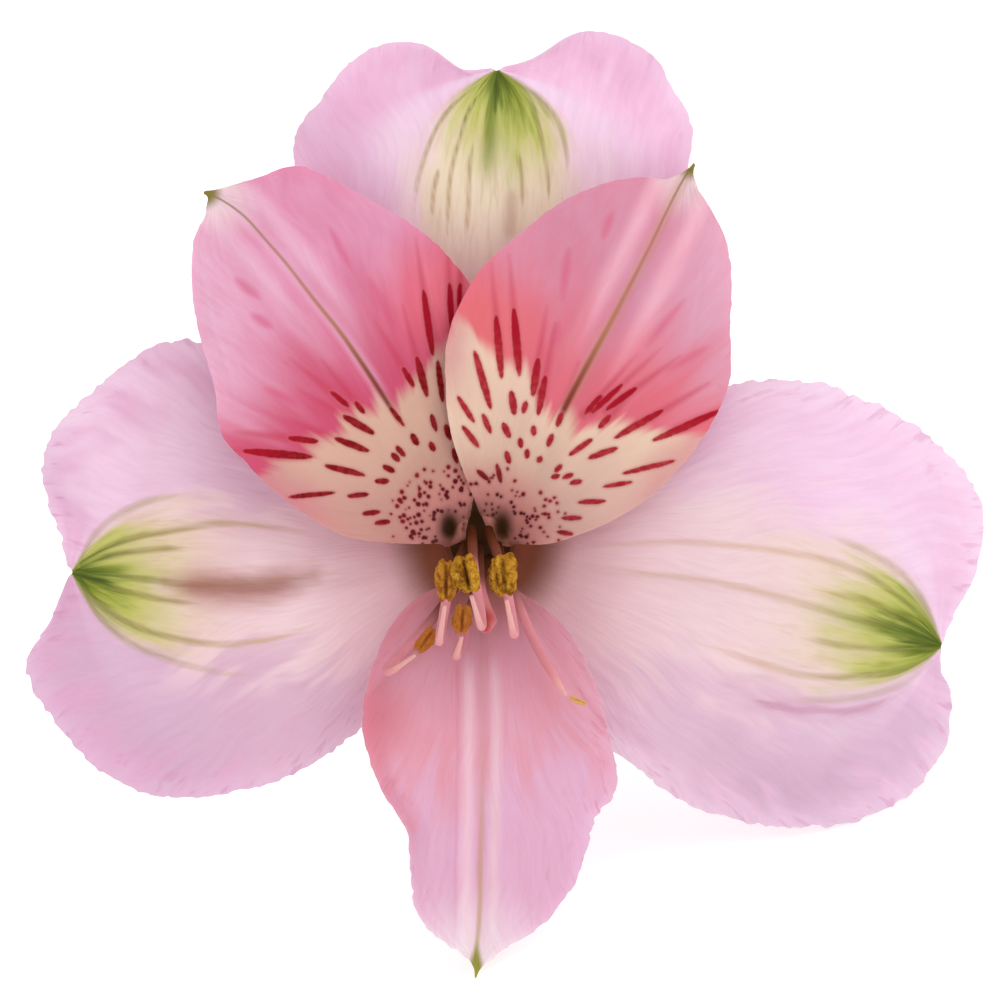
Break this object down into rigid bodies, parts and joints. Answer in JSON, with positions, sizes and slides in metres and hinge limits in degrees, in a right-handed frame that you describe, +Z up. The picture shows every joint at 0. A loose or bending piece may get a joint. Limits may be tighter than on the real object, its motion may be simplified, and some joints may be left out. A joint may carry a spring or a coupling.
{
  "type": "cut alstroemeria bloom",
  "caption": "Single open alstroemeria flower with spreading tepals, curved stamens, a ribbed ovary and a short cut stalk, lying on its tepals and stalk.",
  "frame": {"origin": "on the surface that the bloom rests on, under the middle of its bounding box", "axes": "+Z up; the bloom faces -Y and looks up; its stalk runs back along +Y; +X to the right as seen from the front"},
  "size_m": [0.0804, 0.103, 0.0678],
  "materials": {
    "outer_tepal": "pale lilac-pink petal with a green point, soft satin",
    "inner_tepal": "pink and cream petal with crimson dashes, soft satin",
    "bottom_tepal": "pink petal with a pale band, soft satin",
    "filament": "moist, pale pink",
    "anther": "dusty mustard pollen",
    "pistil": "moist, pink",
    "ovary": "ribbed green, satin",
    "pedicel": "green, satin"
  },
  "bodies": {
    "root": {"outer_tepal_top": "outer_tepal", "outer_tepal_left": "outer_tepal", "outer_tepal_right": "outer_tepal", "inner_tepal_left": "inner_tepal", "inner_tepal_right": "inner_tepal", "inner_tepal_bottom": "bottom_tepal", "filament_1": "filament", "filament_2": "filament", "filament_3": "filament", "filament_4": "filament", "filament_5": "filament", "filament_6": "filament", "anther_1": "anther", "anther_2": "anther", "anther_3": "anther", "anther_4": "anther", "anther_5": "anther", "anther_6": "anther", "pistil": "pistil", "ovary": "ovary", "pedicel": "pedicel"}
  },
  "joints": []
}
